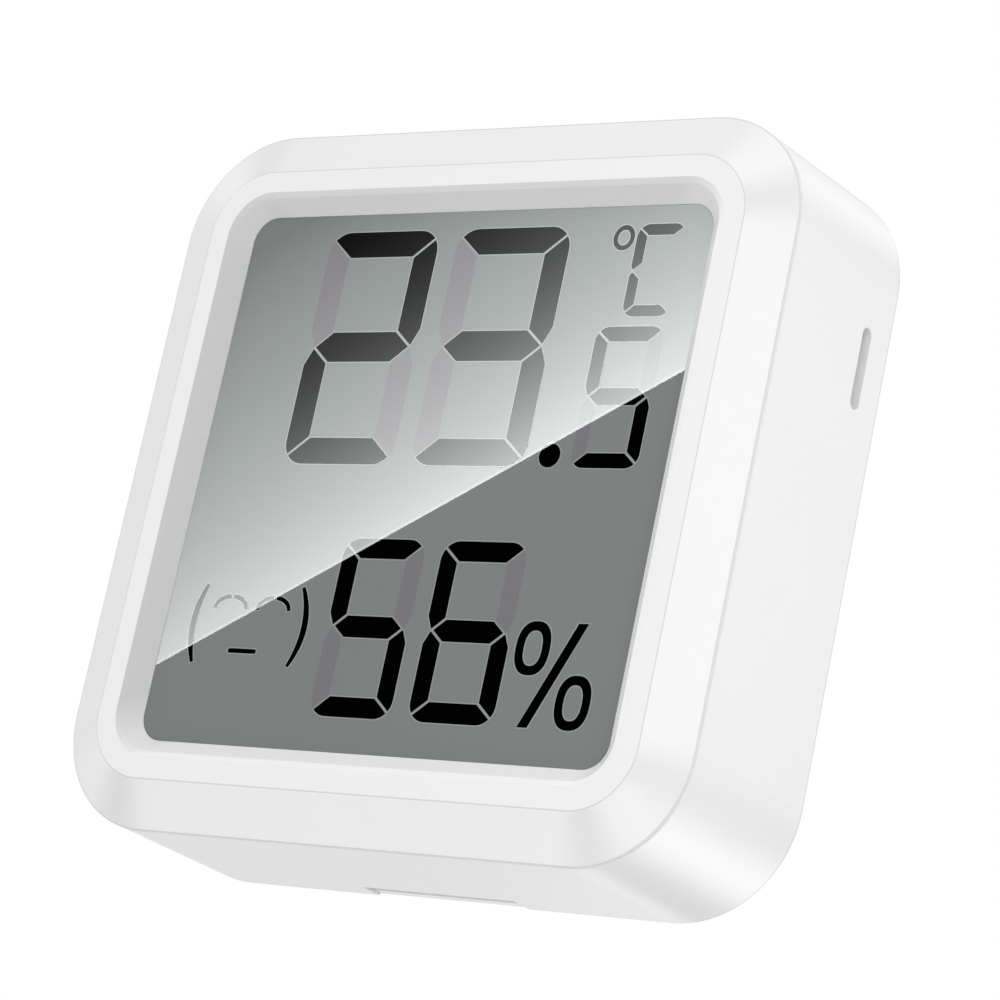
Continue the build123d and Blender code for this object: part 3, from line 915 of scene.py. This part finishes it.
@dataclass
class Display:
    """The liquid-crystal display: glossy grey face with lit and resting segments.

    Sizes are in millimetres, and places are from the middle of the window. Each lit shape has a
    thin pale outline, its halo, in a layer just below it.
    """

    film_y: float
    middle_height_mm: float
    face_half: float = 15.985
    face_corner: float = 1.53
    face_rise: float = 0.20
    print_shift: Point = (-0.064, 0.029)
    temperature_reading: tuple[int, int, int] = (2, 3, 5)
    humidity_reading: tuple[int, int] = (5, 6)
    lit_height: float = 0.012
    resting_height: float = 0.004
    halo_height: float = 0.008
    halo_step: float = 0.0005
    halo: float = 0.07
    face_colour: str = "#808583"
    halo_colour: str = "#979C9A"
    resting_colour: str = "#7C7A7E"
    lit_colour: str = "#020202"

    temperature_glyph: SegmentGlyph = SegmentGlyph(
        left=-10.09, right=-2.28, top=14.87, bottom=0.71, stroke=1.57, middle=7.79,
        middle_stroke=1.79, corner_radius=1.4)
    temperature_units: Point = (-0.98, 6.83)
    tenths_glyph: SegmentGlyph = SegmentGlyph(
        left=9.84, right=14.24, top=8.84, bottom=0.67, stroke=0.86, middle=4.78,
        middle_stroke=0.98, corner_radius=0.85)
    point_centre: Point = (8.41, 1.37)
    point_radius: float = 0.70
    degree_centre: Point = (10.365, 14.09)
    degree_half: Point = (0.69, 0.75)
    degree_stroke: float = 0.28
    celsius_glyph: SegmentGlyph = SegmentGlyph(
        left=11.22, right=14.33, top=14.85, bottom=9.43, stroke=0.65, middle=12.10,
        middle_stroke=0.83, corner_radius=0.75, gap=0.11, waist_share=0.4)
    humidity_glyph: SegmentGlyph = SegmentGlyph(
        left=-4.20, right=1.43, top=-3.66, bottom=-14.0, stroke=1.16, middle=-8.79,
        middle_stroke=1.25, corner_radius=1.15)
    humidity_units: Point = (2.60, 8.32)
    percent_centres: tuple[Point, Point] = ((9.93, -9.55), (13.19, -12.46))
    percent_half: Point = (1.12, 1.52)
    percent_stroke: float = 0.53
    percent_squareness: float = 2.4
    slash: tuple[Point, ...] = ((9.91, -13.95), (10.58, -13.95), (13.24, -8.08), (12.59, -8.08))

    bracket_ends: tuple[Point, Point] = ((-13.35, -0.52), (-6.45, 0.64))
    bracket_middle: float = -8.97
    bracket_half: float = 2.32
    bracket_widths: Point = (0.22, 0.42)
    eye_places: Point = (-11.41, -8.31)
    eye_level: float = -8.06
    eye_half: Point = (1.13, 0.74)
    eye_gap: float = 0.09
    eye_width: float = 0.25
    mouth: tuple[float, float, float, float] = (-10.89, -8.86, -10.65, -10.38)
    mouth_corner: float = 0.12

    def __post_init__(self) -> None:
        """Makes the finishes that the glyphs share, by tone, and the face's own."""
        middle = (0.0, self.middle_height_mm * MM)
        self.finishes = [DisplayLayer(name, colour, middle).build() for name, colour in (
            ("lit_crystal", self.lit_colour), ("crystal_halo", self.halo_colour),
            ("resting_crystal", self.resting_colour))]
        self.face_finish = DisplayLayer("grey_polariser", self.face_colour, middle).build()
        self.layers = ((self.halo, self.halo_height, Tone.HALO.value),
                       (0.0, self.lit_height, Tone.LIT.value))

    def work(self) -> FlatWork:
        """An empty flat work on the display's face."""
        return FlatWork(self.film_y - self.face_rise * MM,
                        (self.print_shift[0], self.middle_height_mm + self.print_shift[1]))

    def face(self) -> None:
        """Builds the hard-coated face, which fills the window up to the foot of the slope."""
        work = FlatWork(self.film_y, (0.0, self.middle_height_mm))
        half = self.face_half
        work.plate(rounded_box(-half, half, -half, half, self.face_corner), self.face_rise, 0)
        work.finish("display_face", [self.face_finish])

    def segments(self, name: str, glyph: SegmentGlyph, lit: str, resting: str = "") -> None:
        """Builds one seven-segment figure, with each halo at its own height.

        Args:
            name: the piece's name.
            glyph: its sizes.
            lit: letters of the dark segments.
            resting: letters of the segments that only show as a pale ghost.
        """
        work = self.work()
        for letter in resting:
            work.plate(glyph.outline(Segment[letter], 0), self.resting_height, Tone.RESTING.value)
        for index, letter in enumerate(lit):
            step = index * self.halo_step
            for grow, height, tone in self.layers:
                rise = step if grow else 0
                work.plate(glyph.outline(Segment[letter], grow), height + rise, tone)
        work.finish(name, self.finishes)

    def number(self, name: str, glyph: SegmentGlyph, figure: int) -> None:
        """Builds a figure with its ghost segments.

        Args:
            name: the piece's name.
            glyph: its sizes.
            figure: the number that it shows.
        """
        lit = LIT_SEGMENTS[figure]
        self.segments(name, glyph, lit, "".join(s.name for s in Segment if s.name not in lit))

    def ring(self, work: FlatWork, centre: Point, half: Point, stroke: float,
             squareness: float = 2.0) -> None:
        """Adds a lit ring with its halo.

        Args:
            work: the flat work that gets it.
            centre: its middle.
            half: outer reach to each side, and up and down.
            stroke: width of the line.
            squareness: two for an ellipse.
        """
        for grow, height, tone in self.layers:
            outer, inner = (oval(centre, half[0] + reach, half[1] + reach, squareness)
                            for reach in (grow, -stroke - grow))
            work.strip(outer, inner, height, tone, True)

    def shape(self, work: FlatWork, maker: Callable[[float], Outline]) -> None:
        """Adds a lit plate with its halo, from an outline that spreads by a margin."""
        for grow, height, tone in self.layers:
            work.plate(maker(grow), height, tone)

    def line(self, work: FlatWork, path: Callable[[float], Point], width: Callable[[float], float],
             start: float, end: float, steps: int = 24) -> None:
        """Adds a lit curved line of varying width, with its halo.

        Args:
            work: the flat work that gets it.
            path: the line's middle at a parameter.
            width: its width at a parameter.
            start: the first parameter.
            end: the last parameter.
            steps: how many pieces it is made of.
        """
        run = (end - start) / steps
        nudge = run / PROBES_PER_STEP
        for grow, height, tone in self.layers:
            left: Outline = []
            right: Outline = []
            for index in range(steps + 1):
                at = start + run * index
                before, after = path(at - nudge), path(at + nudge)
                ahead = Vector((after[0] - before[0], after[1] - before[1])).normalized()
                across = Vector((-ahead.y, ahead.x)) * (width(at) / 2 + grow)
                middle = Vector(path(at)) + ahead * grow * ((index == steps) - (index == 0))
                left.append(tuple(middle + across))
                right.append(tuple(middle - across))
            work.strip(left, right, height, tone, False)

    def temperature(self) -> None:
        """Builds the large temperature figures, the tenths and the point."""
        tens, units, tenths = self.temperature_reading
        left, right = self.temperature_units
        moved = replace(self.temperature_glyph, left=left, right=right)
        self.number("temperature_tens", self.temperature_glyph, tens)
        self.number("temperature_units", moved, units)
        self.number("temperature_tenths", self.tenths_glyph, tenths)
        work = self.work()
        self.shape(work, lambda grow: oval(self.point_centre, self.point_radius + grow,
                                           self.point_radius + grow))
        work.finish("decimal_point", self.finishes)

    def units_of_temperature(self) -> None:
        """Builds the degree ring and the C beside it."""
        work = self.work()
        self.ring(work, self.degree_centre, self.degree_half, self.degree_stroke)
        work.finish("degree_mark", self.finishes)
        self.segments("celsius_mark", self.celsius_glyph, CELSIUS_SEGMENTS)

    def humidity(self) -> None:
        """Builds the humidity figures and the percent sign."""
        tens, units = self.humidity_reading
        left, right = self.humidity_units
        moved = replace(self.humidity_glyph, left=left, right=right)
        self.number("humidity_tens", self.humidity_glyph, tens)
        self.number("humidity_units", moved, units)
        work = self.work()
        for centre in self.percent_centres:
            self.ring(work, centre, self.percent_half, self.percent_stroke, self.percent_squareness)
        ways = ((-1, -1), (1, -1), (1, 1), (-1, 1))
        self.shape(work, lambda grow: [(x + grow * right, y + grow * up)
                                       for (x, y), (right, up) in zip(self.slash, ways)])
        work.finish("percent_mark", self.finishes)

    def comfort_face(self) -> None:
        """Builds the simple bracketed face that such displays show for comfort."""
        work = self.work()
        thin, thick = self.bracket_widths
        for end, bulge in self.bracket_ends:
            self.line(work, lambda t, x=end, b=bulge: (x + b * (1 - t * t),
                                                       self.bracket_middle + self.bracket_half * t),
                      lambda t: thin + (thick - thin) * (1 - t * t), -1, 1)
        crown = math.pi / 2
        # Each eye is an arch in two halves, with a gap at its crown
        for eye in self.eye_places:
            for start, end in ((math.pi, crown + self.eye_gap), (crown - self.eye_gap, 0)):
                self.line(work, lambda t, x=eye: (x + self.eye_half[0] * math.cos(t),
                                                  self.eye_level + self.eye_half[1] * math.sin(t)),
                          lambda t: self.eye_width, start, end, steps=12)
        left, right, bottom, top = self.mouth
        self.shape(work, lambda grow: rounded_box(left - grow, right + grow, bottom - grow,
                                                  top + grow, self.mouth_corner + grow, steps=4))
        work.finish("comfort_face", self.finishes)

    def build(self) -> None:
        """Builds all glyphs and dresses the layers of the display."""
        self.face()
        self.temperature()
        self.units_of_temperature()
        self.humidity()
        self.comfort_face()
        # Hard-coated polariser: the glossy grey face, dark where it mirrors nothing bright
        dress(self.face_finish, "front_polariser")
        dress(SodaGlass().build(), "lcd_front_glass", "lcd_rear_glass")
        # Aluminised reflector film: satin grey from behind
        dress(GrainedSolid("aluminised_film", "#C2C5C4", "#B2B5B4", grain_mm=0.3,
                           grain_height_mm=0.001, roughness=0.28).build(),
              "rear_reflector")
        # Closed-cell polyurethane foam: pale, soft and matt
        dress(GrainedSolid("pale_foam", "#D9D9D7", "#C6C6C4", grain_mm=0.2,
                           grain_height_mm=0.02, roughness=0.9).build(),
              "display_gasket")


@dataclass
class Case:
    """The three white mouldings: bezel, housing and back cover. Sizes are in millimetres."""

    slope_half_width: float = 17.3
    slope_start: float = 0.003
    groove: float = 0.12
    face_margin: float = 0.002
    # Width of the painted shade lines along the bezel's front edge and rim
    crease: float = 0.03
    rim: float = 1.26
    corner_centre: float = 14.7
    back_chamfer: float = 0.25
    # Width of the painted shade line along the housing's back edge
    back_line: float = 0.07

    def build(self) -> None:
        """Dresses the three mouldings, with depths that are measured on the CAD nodes."""
        lowest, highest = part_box("front_bezel")
        housing_front, housing_back = (corner.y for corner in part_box("main_housing"))
        margin = self.face_margin * MM
        front = lowest.y
        rim = front + self.rim * MM
        back = housing_back - self.back_chamfer * MM
        # The bezel gets painted shade on its slope, at its bevel's corners, in the groove and along
        # its edges
        bezel = BezelAbs(slope_half_width=self.slope_half_width * MM,
                         slope_start=front + self.slope_start * MM,
                         middle_height=(lowest.z + highest.z) / 2,
                         corner_centre=self.corner_centre * MM,
                         bevel=Depths(front + margin, rim),
                         edges=(Depths(front + margin, front + self.crease * MM),
                                Depths(rim - self.crease * MM, rim)),
                         joint=(Depths(housing_front - self.groove * MM - margin, highest.y),))
        # The housing gets painted shade in the groove at its front and along its back edge
        housing = MouldedAbs(name="housing_abs", joint=(Depths(front, housing_front + margin),),
                             edges=(Depths(back - self.back_line * MM, back),))
        dress(bezel.build(), "front_bezel")
        dress(housing.build(), "main_housing")
        dress(MouldedAbs().build(), "back_cover")


class Electronics:
    """The board with its small parts, and what joins it to the display."""

    def build(self) -> None:
        """Dresses the board, the parts on it, the holder and the contacts."""
        dress(SolderMask().build(), "main_board")
        # Moulded epoxy: near black, with a dull fine grain
        dress(GrainedSolid("moulded_epoxy", "#232325", "#1B1B1D", grain_mm=0.08,
                           grain_height_mm=0.003, roughness=0.5, ior=1.55).build(),
              "radio_chip", "display_driver", "humidity_sensor")
        # Nickel can of the crystal: bright and drawn
        dress(PlatedSteel("crystal_nickel", "#D8D6D0", roughness=0.25).build(), "board_crystal")
        # Fired ceramic with tinned ends: brown between two bright bands
        dress(BandedSolid("capacitor_ceramic", "#B08A5A", "#C9C7C2", pitch_mm=0.9,
                          roughness=0.35).build(), "board_capacitors")
        # Zinc-plated screws: bluish white metal
        dress(PlatedSteel("zinc_plate", "#CFD2D3", roughness=0.3).build(), "board_screws")
        # Nickel-plated spring steel: warm, bright and smooth
        dress(PlatedSteel("spring_nickel", "#DAD6CC", roughness=0.22).build(),
              "negative_contact", "positive_contact")
        # Striped silicone rubber: dark conducting and pale plain layers by turns
        dress(BandedSolid("striped_silicone", "#E3C9C4", "#3A3436", pitch_mm=0.36,
                          roughness=0.6).build(), "upper_contact_strip", "lower_contact_strip")
        # Natural polystyrene: milky white with a low sheen
        dress(GrainedSolid("polystyrene", "#E4E4E0", "#DCDCD8", grain_mm=0.15,
                           grain_height_mm=0.004, roughness=0.42, ior=1.59).build(),
              "lcd_holder")
        # Polyethylene foam round the air sensor: dark grey, soft and matt
        dress(GrainedSolid("dark_foam", "#6E7072", "#585A5C", grain_mm=0.25,
                           grain_height_mm=0.04, roughness=0.92).build(),
              "sensor_seal")


class Battery:
    """The coin cell in its bay."""

    def build(self) -> None:
        """Dresses the can, the cap, the gasket and the filling."""
        # Nickel-plated stainless steel, finely brushed: bright with a satin sheen
        dress(PlatedSteel("brushed_stainless", "#D2D1CE", roughness=0.26, line_mm=0.06).build(),
              "cell_can", "cell_cap")
        # Polypropylene gasket ring: dark, with a waxy sheen
        dress(GrainedSolid("polypropylene", "#3A3A3B", "#2E2E2F", grain_mm=0.1,
                           grain_height_mm=0.002, roughness=0.45, ior=1.49).build(),
              "cell_gasket")
        # Pressed powder: near black and matt
        dress(GrainedSolid("pressed_powder", "#3B3B3C", "#2C2C2D", grain_mm=0.2,
                           grain_height_mm=0.02, roughness=0.9).build(),
              "cell_filling")


# The studio

@dataclass(frozen=True)
class MattPaint(Finish):
    """Pale matt paint of the studio's floor."""

    name: str = "pale_floor"
    colour: str = "#F1F1F1"
    roughness: float = 0.8

    def shade(self, tree: Tree, where: Socket) -> Node:
        """One even tone."""
        return add_node(tree, "BsdfPrincipled",
                        {"Base Color": linear(self.colour), "Roughness": self.roughness})


@dataclass(frozen=True)
class FadingCard(Finish):
    """Face of a studio card, bright or black, that fades from its inner reach to one at its rim."""

    name: str
    level: float
    full_reach: float = 0.2

    def shade(self, tree: Tree, where: Socket) -> Node:
        """An even glow that turns clear."""
        reach = add_node(tree, "VectorMath", {"operation": "LENGTH"}, {0: where})
        cover = add_node(tree, "MapRange",
                         {"interpolation_type": "SMOOTHSTEP", "From Min": self.full_reach,
                          "From Max": 1.0, "To Min": 1.0, "To Max": 0.0},
                         {"Value": reach.outputs["Value"]})
        glow = add_node(tree, "Emission", {"Color": WHITE, "Strength": self.level})
        return add_node(tree, "MixShader",
                        links={0: cover, 1: add_node(tree, "BsdfTransparent"), 2: glow})


@dataclass(frozen=True)
class SoftBox(Finish):
    """Face of the soft box as the display mirrors it: dark below an edge, fading above it.

    Its own coordinates are metres on the display. The levels are those that the film shows,
    and the film mirrors only a small share of the box's light.
    """

    name: str = "soft_box_face"
    edge: GlareEdge = GlareEdge()
    colour: Colour = (0.965, 1.0, 0.985, 1.0)
    film_mirror: float = 0.0485
    fade_mm: float = 28.18
    fade_power: float = 3.81
    middle_level: float = 0.568
    rise_per_mm: float = 0.0062
    rim_mm: float = 0.16
    rim_level: float = 0.10

    def shade(self, tree: Tree, where: Socket) -> Node:
        """Light that is brightest along the edge and towards the right."""
        parts = add_node(tree, "SeparateXYZ", links={0: where})
        beyond = self.edge.beyond(tree, parts.outputs["X"], parts.outputs["Y"])
        share = add_node(tree, "MapRange",
                         {"From Min": 0.0, "From Max": self.fade_mm, "To Min": 1.0, "To Max": 0.0},
                         {"Value": beyond})
        faded = add_node(tree, "Math", {"operation": "POWER", 1: self.fade_power}, {0: share})
        level = add_node(tree, "Math", {"operation": "MULTIPLY_ADD",
                                        1: self.rise_per_mm / MM / self.film_mirror,
                                        2: self.middle_level / self.film_mirror},
                         {0: parts.outputs["X"]})
        rim = add_node(tree, "Math", {"operation": "LESS_THAN", 1: self.rim_mm}, {0: beyond})
        gleam = add_node(tree, "Math", {"operation": "MULTIPLY",
                                        1: self.rim_level / self.film_mirror}, {0: rim})
        level = add_node(tree, "Math", {"operation": "MULTIPLY_ADD"},
                         {0: faded, 1: level, 2: gleam})
        above = add_node(tree, "Math", {"operation": "GREATER_THAN", 1: 0.0}, {0: beyond})
        strength = add_node(tree, "Math", {"operation": "MULTIPLY"}, {0: level, 1: above})
        return add_node(tree, "Emission", {"Color": self.colour}, {"Strength": strength})


class Corner(Enum):
    """Rounded corners of the case that get gleams, by a point inside each, in metres."""

    LOW_WALL = (0.017, 0.0, 0.0045)
    HIGH_WALL = (0.017, 0.0, 0.0385)
    LOW_RIGHT = (0.0185, -0.0055, 0.003)
    HIGH_RIGHT = (0.0185, -0.0055, 0.040)
    HIGH_LEFT = (-0.0185, -0.0055, 0.040)
    LOW_LEFT = (-0.0185, -0.0055, 0.003)


@dataclass(frozen=True)
class StudioCard:
    """A soft-edged card of the studio, bright or black, seen only as a gleam on a corner.

    It stands at a distance from its corner, in a direction, and spreads by an angle.
    """

    name: str
    corner: Corner
    towards: Place
    spread_degrees: float
    level: float = 0.0
    distance: float = 0.12

    def placed(self) -> Matrix:
        """Where the card stands and how large it is."""
        direction = Vector(self.towards).normalized()
        half = self.distance * math.tan(math.radians(self.spread_degrees))
        return (Matrix.Translation(Vector(self.corner.value) + direction * self.distance)
                @ direction.to_track_quat("Z", "Y").to_matrix().to_4x4() @ Matrix.Scale(half, 4))


@dataclass(frozen=True)
class Lamp:
    """A soft square lamp that faces the object, in metres and watts."""

    name: str
    place: Place
    power: float
    side: float = 0.12

    def build(self, target: Vector) -> None:
        """Hangs the lamp so that it faces a point, and keeps it out of reflections."""
        data = bpy.data.lights.new(self.name, "AREA")
        data.size = self.side
        data.energy = self.power
        lamp = bpy.data.objects.new(self.name, data)
        turn = (target - Vector(self.place)).to_track_quat("-Z", "Y").to_matrix().to_4x4()
        lamp.matrix_world = Matrix.Translation(self.place) @ turn
        lamp.visible_glossy = False
        bpy.context.scene.collection.objects.link(lamp)


@dataclass
class Studio:
    """Camera at the photograph's viewpoint, pale floor, white surround, cards and soft lamps.

    Lengths are in metres and angles in degrees.
    """

    display_y: float
    middle_height: float
    azimuth: float = 36.824
    elevation: float = -14.765
    roll: float = 11.942
    distance: float = 0.21585
    aim: Place = (0.00128, 0.00072, 0.02222)
    lens_mm: float = 137.107
    sensor_width_mm: float = 36.0
    clip_start: float = 0.01
    floor_height: float = -0.16
    floor_half: float = 1.5
    surround_light: float = 0.83
    soft_box_distance: float = 0.6
    soft_box_half: float = 0.0185
    lamps: tuple[Lamp, ...] = (
        Lamp("key_lamp", (0.15, -0.17, 0.05), 0.079),
        Lamp("side_lamp", (0.20, -0.10, 0.15), 0.088),
        Lamp("low_lamp", (0.05, -0.08, -0.13), 0.035),
    )
    cards: tuple[StudioCard, ...] = (
        StudioCard("lower_wall_box", Corner.LOW_WALL, (0.30, 0.774, -0.555), 22, 3.1),
        StudioCard("lower_wall_flag", Corner.LOW_WALL, (-0.26, 0.774, -0.575), 17),
        StudioCard("underside_box", Corner.LOW_WALL, (-0.50, 0.79, -0.37), 9, 1.5),
        StudioCard("side_wall_flag", Corner.LOW_WALL, (0.58, 0.81, -0.08), 18),
        StudioCard("upper_wall_flag", Corner.HIGH_WALL, (0.41, 0.80, 0.43), 12),
        StudioCard("upper_wall_box", Corner.HIGH_WALL, (0.03, 0.80, 0.61), 10, 1.5),
        StudioCard("upper_rim_flag", Corner.HIGH_WALL, (-0.45, 0.78, 0.44), 14, 0.6),
        StudioCard("right_front_flag", Corner.LOW_RIGHT, (0.18, -0.98, -0.02), 14),
        StudioCard("low_front_flag", Corner.LOW_RIGHT, (-0.33, -0.84, -0.44), 14),
        StudioCard("high_front_flag", Corner.HIGH_RIGHT, (0.13, -0.87, 0.47), 14),
        StudioCard("high_front_box", Corner.HIGH_RIGHT, (-0.14, -0.65, 0.74), 11, 1.9),
        StudioCard("top_front_flag", Corner.HIGH_RIGHT, (-0.49, -0.39, 0.78), 10),
        StudioCard("top_left_flag", Corner.HIGH_LEFT, (-0.68, -0.22, 0.70), 9),
        StudioCard("top_left_box", Corner.HIGH_LEFT, (-0.87, -0.05, 0.49), 12, 2.1),
        StudioCard("low_left_box", Corner.LOW_LEFT, (-0.95, -0.29, -0.06), 12, 2.0),
        StudioCard("low_left_flag", Corner.LOW_LEFT, (-0.74, -0.58, -0.34), 14),
    )

    def add_camera(self) -> Vector:
        """Adds the camera.

        Returns:
            The camera's place.
        """
        data = bpy.data.cameras.new("camera")
        data.lens = self.lens_mm
        data.sensor_width = self.sensor_width_mm
        data.clip_start = self.clip_start
        camera = bpy.data.objects.new("camera", data)
        bpy.context.scene.collection.objects.link(camera)
        # The columns of these axes are the camera's right, up and backward directions
        axes = (Matrix.Rotation(math.radians(self.azimuth), 3, "Z")
                @ Matrix.Rotation(math.radians(90 - self.elevation), 3, "X")
                @ Matrix.Rotation(math.radians(self.roll), 3, "Z"))
        eye = Vector(self.aim) + axes.col[2] * self.distance
        camera.matrix_world = Matrix.Translation(eye) @ axes.to_4x4()
        bpy.context.scene.camera = camera
        return eye

    def add_surround(self) -> None:
        """Adds the white surround: soft light on the object, plain white behind it."""
        world = bpy.data.worlds.new("surround")
        world.use_nodes = True
        tree = world.node_tree
        tree.nodes.clear()
        path = add_node(tree, "LightPath")
        seen = path.outputs["Is Camera Ray"]
        for ray in ("Is Transmission Ray", "Is Glossy Ray"):
            seen = add_node(tree, "Math", {"operation": "MAXIMUM"}, {0: seen, 1: path.outputs[ray]})
        strength = add_node(tree, "MapRange", {"To Min": self.surround_light, "To Max": 1.0},
                            {"Value": seen})
        shine = add_node(tree, "Background", {"Color": WHITE}, {"Strength": strength})
        add_node(tree, "OutputWorld", links={"Surface": shine})
        bpy.context.scene.world = world

    def add_sheet(self, name: str, half: float, finish: Finish, placed: Matrix,
                  gloss_only: bool = True) -> None:
        """Adds a flat square that is part of the stage.

        Args:
            name: its name.
            half: half of its side, in its own units.
            finish: what it is made of.
            placed: where it stands.
            gloss_only: whether only glossy reflections show it, so that it lights nothing.
        """
        data = bpy.data.meshes.new(name)
        corners = [(-half, -half, 0), (half, -half, 0), (half, half, 0), (-half, half, 0)]
        data.from_pydata(corners, [], [(0, 1, 2, 3)])
        data.materials.append(finish.build())
        sheet = bpy.data.objects.new(name, data)
        sheet.matrix_world = placed
        bpy.context.scene.collection.objects.link(sheet)
        if gloss_only:
            sheet.visible_camera = False
            sheet.visible_diffuse = False
            sheet.visible_shadow = False
            sheet.visible_transmission = False

    def add_soft_box(self, eye: Vector) -> None:
        """Adds the soft box that the display mirrors, sized and placed by the mirror's rule.

        Args:
            eye: the place that sees it in the display.
        """
        spread = 1 + self.soft_box_distance / (self.display_y - eye.y)
        middle = Vector((eye.x * (1 - spread), self.display_y - self.soft_box_distance,
                         eye.z + (self.middle_height - eye.z) * spread))
        placed = (Matrix.Translation(middle) @ Matrix.Rotation(math.radians(90), 4, "X")
                  @ Matrix.Scale(spread, 4))
        self.add_sheet("soft_box", self.soft_box_half, SoftBox(), placed)

    def build(self) -> None:
        """Builds the whole studio. The floor lies low, because the camera looks up."""
        bpy.context.scene.view_settings.view_transform = "Standard"
        eye = self.add_camera()
        self.add_surround()
        self.add_sheet("floor", self.floor_half, MattPaint(),
                       Matrix.Translation((0, 0, self.floor_height)), gloss_only=False)
        self.add_soft_box(eye)
        for card in self.cards:
            face = FadingCard(f"{card.name}_face", card.level)
            self.add_sheet(card.name, 1.0, face, card.placed())
        for lamp in self.lamps:
            lamp.build(Vector((0, 0, self.middle_height)))


def main() -> None:
    """Builds the sensor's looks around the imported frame, and the studio."""
    logging.basicConfig(level=logging.INFO, format="%(name)s: %(message)s")
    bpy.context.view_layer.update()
    film_front, film_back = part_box("front_polariser")
    middle_height = (film_front.z + film_back.z) / 2
    Case().build()
    Display(film_front.y, middle_height / MM).build()
    Electronics().build()
    Battery().build()
    Studio(film_front.y, middle_height).build()


if __name__ == "__main__":
    main()
